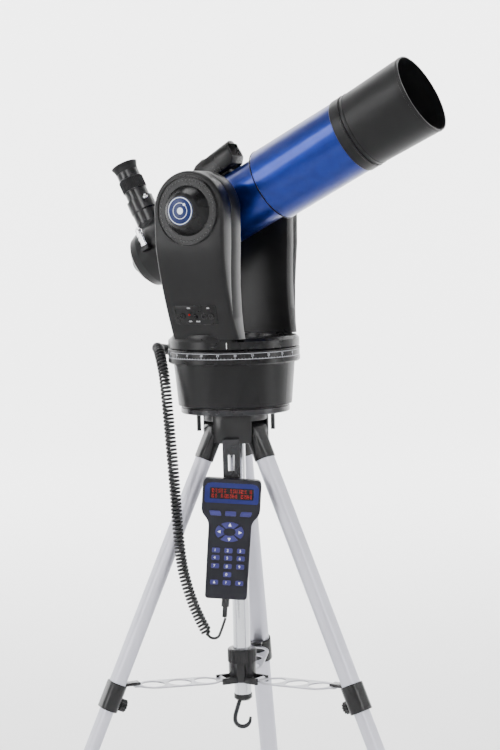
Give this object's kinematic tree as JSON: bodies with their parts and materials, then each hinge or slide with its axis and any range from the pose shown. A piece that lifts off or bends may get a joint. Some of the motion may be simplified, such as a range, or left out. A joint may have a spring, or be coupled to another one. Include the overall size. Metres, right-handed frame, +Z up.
{
  "type": "fork mounted refractor telescope",
  "caption": "Small refracting telescope on a motor-driven fork mount and folding tripod, with a corded handset on the tripod head.",
  "frame": {"origin": "floor point under the azimuth axis, at the level of the feet's soles", "axes": "+Z up; +X is the way the tube points at rest; the altitude axis lies along Y, with the dialled arm at -Y"},
  "size_m": [0.5684, 0.6012, 1.1645],
  "materials": {
    "black_plastic": "fine moulded grain",
    "black_metal": "satin black paint",
    "blue_metal": "metallic blue lacquer",
    "silver_tube": "satin anodised",
    "chrome": "polished plate",
    "black_rubber": "soft matt",
    "lens_glass": "coated",
    "screen_glass": "red character display",
    "handset_shell": "fine moulded grain",
    "key_blue": "soft moulded key",
    "key_grey": "soft moulded key",
    "steel": "machined",
    "cord_black": "curly cord jacket",
    "brace_silver": "stamped strip"
  },
  "bodies": {
    "stand": {"base_plate": "black_metal", "drive_base": "black_plastic", "azimuth_circle": "black_plastic", "azimuth_motor": "steel", "tripod_head": "black_plastic", "mounting_pegs": "steel", "column_tube": "silver_tube", "column_cap": "black_plastic", "column_hook": "black_metal", "handset_holder": "black_metal", "handset_front": "handset_shell", "handset_back": "handset_shell", "handset_screen": "screen_glass", "coil_cord": "cord_black", "handset_lead": "cord_black", "cord_plugs": "cord_black"},
    "fork": {"turntable": "black_plastic", "near_arm_shell": "black_plastic", "near_arm_cover": "black_plastic", "far_arm": "black_plastic", "battery_holder": "black_plastic", "altitude_motor": "steel", "control_panel": "black_plastic"},
    "tube": {"rear_tube": "blue_metal", "front_tube": "blue_metal", "lens_cell": "black_plastic", "rear_cell": "black_plastic", "eyepiece_holder": "black_plastic", "finder_body": "black_plastic", "altitude_dial": "black_plastic", "altitude_shafts": "steel"},
    "objective": {"objective_lens": "lens_glass"},
    "dew_shield": {"dew_shield": "black_plastic"},
    "eyepiece": {"eyepiece": "black_plastic", "eyecup": "black_rubber"},
    "flip_mirror": {"flip_mirror": "black_plastic"},
    "focus_knob": {"focus_knob": "black_plastic"},
    "altitude_knob": {"altitude_knob": "black_plastic"},
    "holder_screw": {"holder_screw": "chrome"},
    "barlow_lever": {"barlow_lever": "chrome"},
    "power_switch": {"power_switch": "black_plastic"},
    "soft_keys": {"soft_keys": "key_grey"},
    "arrow_keys": {"arrow_keys": "key_blue"},
    "number_keys": {"number_keys": "key_grey"},
    "collar": {"spreader_collar": "black_plastic"},
    "leg_back": {"leg_fittings_back": "black_plastic", "leg_tube_back": "silver_tube"},
    "clamp_knob_back": {"clamp_knob_back": "black_plastic"},
    "lower_leg_back": {"lower_leg_back": "silver_tube"},
    "brace_back": {"brace_back": "brace_silver"},
    "leg_left": {"leg_fittings_left": "black_plastic", "leg_tube_left": "silver_tube"},
    "clamp_knob_left": {"clamp_knob_left": "black_plastic"},
    "lower_leg_left": {"lower_leg_left": "silver_tube"},
    "brace_left": {"brace_left": "brace_silver"},
    "leg_right": {"leg_fittings_right": "black_plastic", "leg_tube_right": "silver_tube"},
    "clamp_knob_right": {"clamp_knob_right": "black_plastic"},
    "lower_leg_right": {"lower_leg_right": "silver_tube"},
    "brace_right": {"brace_right": "brace_silver"}
  },
  "joints": [
    {"name": "azimuth", "type": "hinge", "parent": "stand", "child": "fork", "pos_m": [0, 0, 0.788], "axis": [0, 0, 1], "range_deg": [-315, 315]},
    {"name": "altitude", "type": "hinge", "parent": "fork", "child": "tube", "pos_m": [0, 0, 0.9703], "axis": [0, -1, 0], "range_deg": [-46.4, 63.6]},
    {"name": "focus", "type": "hinge", "parent": "tube", "child": "focus_knob", "pos_m": [-0.14958, 0, 0.89828], "axis": [0.8957, 0, 0.4446], "range_deg": [-720, 720]},
    {"name": "focus_lens", "type": "slide", "parent": "tube", "child": "objective", "axis": [0.8957, 0, 0.4446], "range_m": [-0.0025, 0.0025]},
    {"name": "dew_shield_slide", "type": "slide", "parent": "tube", "child": "dew_shield", "axis": [0.8957, 0, 0.4446], "range_m": [0, 0.012]},
    {"name": "eyepiece_slide", "type": "slide", "parent": "tube", "child": "eyepiece", "axis": [-0.4446, 0, 0.8957], "range_m": [0, 0.022]},
    {"name": "flip_mirror", "type": "hinge", "parent": "tube", "child": "flip_mirror", "pos_m": [-0.11134, 0, 0.91503], "axis": [0, -1, 0], "range_deg": [0, 45]},
    {"name": "altitude_lock", "type": "hinge", "parent": "tube", "child": "altitude_knob", "pos_m": [0, 0.112, 0.9703], "axis": [0, 1, 0], "range_deg": [0, 90]},
    {"name": "holder_screw_turn", "type": "hinge", "parent": "tube", "child": "holder_screw", "pos_m": [-0.12977, -0.01543, 0.99352], "axis": [0.6862, -0.6428, 0.3406], "range_deg": [0, 720]},
    {"name": "barlow_turn", "type": "hinge", "parent": "tube", "child": "barlow_lever", "pos_m": [-0.11565, -0.0515, 0.93745], "axis": [-0.4446, 0, 0.8957], "range_deg": [0, 90]},
    {"name": "power_switch", "type": "slide", "parent": "fork", "child": "power_switch", "axis": [0, -0.2571, 0.9664], "range_m": [0, 0.004]},
    {"name": "soft_keys_press", "type": "slide", "parent": "stand", "child": "soft_keys", "axis": [-0.4894, 0.8721, 0], "range_m": [0, 0.001], "stiffness_N_per_m": 400},
    {"name": "arrow_keys_press", "type": "slide", "parent": "stand", "child": "arrow_keys", "axis": [-0.4894, 0.8721, 0], "range_m": [0, 0.001], "stiffness_N_per_m": 400},
    {"name": "number_keys_press", "type": "slide", "parent": "stand", "child": "number_keys", "axis": [-0.4894, 0.8721, 0], "range_m": [0, 0.001], "stiffness_N_per_m": 400},
    {"name": "collar_slide", "type": "slide", "parent": "stand", "child": "collar", "axis": [0, 0, 1], "range_m": [0, 0.1466]},
    {"name": "leg_fold_back", "type": "hinge", "parent": "stand", "child": "leg_back", "pos_m": [-0.01162, 0.02981, 0.665], "axis": [-0.9317, -0.3633, 0], "range_deg": [0, 12]},
    {"name": "leg_slide_back", "type": "slide", "parent": "leg_back", "child": "lower_leg_back", "axis": [0.1501, -0.3849, 0.9107], "range_m": [-0.04, 0.25]},
    {"name": "clamp_knob_back", "type": "hinge", "parent": "leg_back", "child": "clamp_knob_back", "pos_m": [-0.06599, 0.16927, 0.29147], "axis": [0.3308, -0.8485, -0.4131], "range_deg": [0, 360]},
    {"name": "brace_fold_back", "type": "hinge", "parent": "collar", "child": "brace_back", "pos_m": [-0.0109, 0.02795, 0.309], "axis": [-0.9317, -0.3633, 0], "range_deg": [0, 90]},
    {"name": "leg_fold_left", "type": "hinge", "parent": "stand", "child": "leg_left", "pos_m": [-0.02001, -0.02497, 0.665], "axis": [0.7804, -0.6252, 0], "range_deg": [0, 12]},
    {"name": "leg_slide_left", "type": "slide", "parent": "leg_left", "child": "lower_leg_left", "axis": [0.2583, 0.3224, 0.9107], "range_m": [-0.04, 0.25]},
    {"name": "clamp_knob_left", "type": "hinge", "parent": "leg_left", "child": "clamp_knob_left", "pos_m": [-0.11359, -0.14178, 0.29147], "axis": [0.5694, 0.7107, -0.4131], "range_deg": [0, 360]},
    {"name": "brace_fold_left", "type": "hinge", "parent": "collar", "child": "brace_left", "pos_m": [-0.01876, -0.02341, 0.309], "axis": [0.7804, -0.6252, 0], "range_deg": [0, 90]},
    {"name": "leg_fold_right", "type": "hinge", "parent": "stand", "child": "leg_right", "pos_m": [0.03163, -0.00484, 0.665], "axis": [0.1513, 0.9885, 0], "range_deg": [0, 12]},
    {"name": "leg_slide_right", "type": "slide", "parent": "leg_right", "child": "lower_leg_right", "axis": [-0.4084, 0.0625, 0.9107], "range_m": [-0.04, 0.25]},
    {"name": "clamp_knob_right", "type": "hinge", "parent": "leg_right", "child": "clamp_knob_right", "pos_m": [0.17958, -0.02748, 0.29147], "axis": [-0.9002, 0.1378, -0.4131], "range_deg": [0, 360]},
    {"name": "brace_fold_right", "type": "hinge", "parent": "collar", "child": "brace_right", "pos_m": [0.02966, -0.00454, 0.309], "axis": [0.1513, 0.9885, 0], "range_deg": [0, 90]}
  ],
  "couplings": [
    {"joint": "focus", "follows": "focus_lens", "rad_per_m": 5026.5},
    {"joint": "collar_slide", "follows": "leg_fold_back", "m_per_rad": 0.7},
    {"joint": "brace_fold_back", "follows": "leg_fold_back", "ratio": 7.5},
    {"joint": "leg_fold_left", "follows": "leg_fold_back", "ratio": 1},
    {"joint": "brace_fold_left", "follows": "leg_fold_back", "ratio": 7.5},
    {"joint": "leg_fold_right", "follows": "leg_fold_back", "ratio": 1},
    {"joint": "brace_fold_right", "follows": "leg_fold_back", "ratio": 7.5}
  ]
}
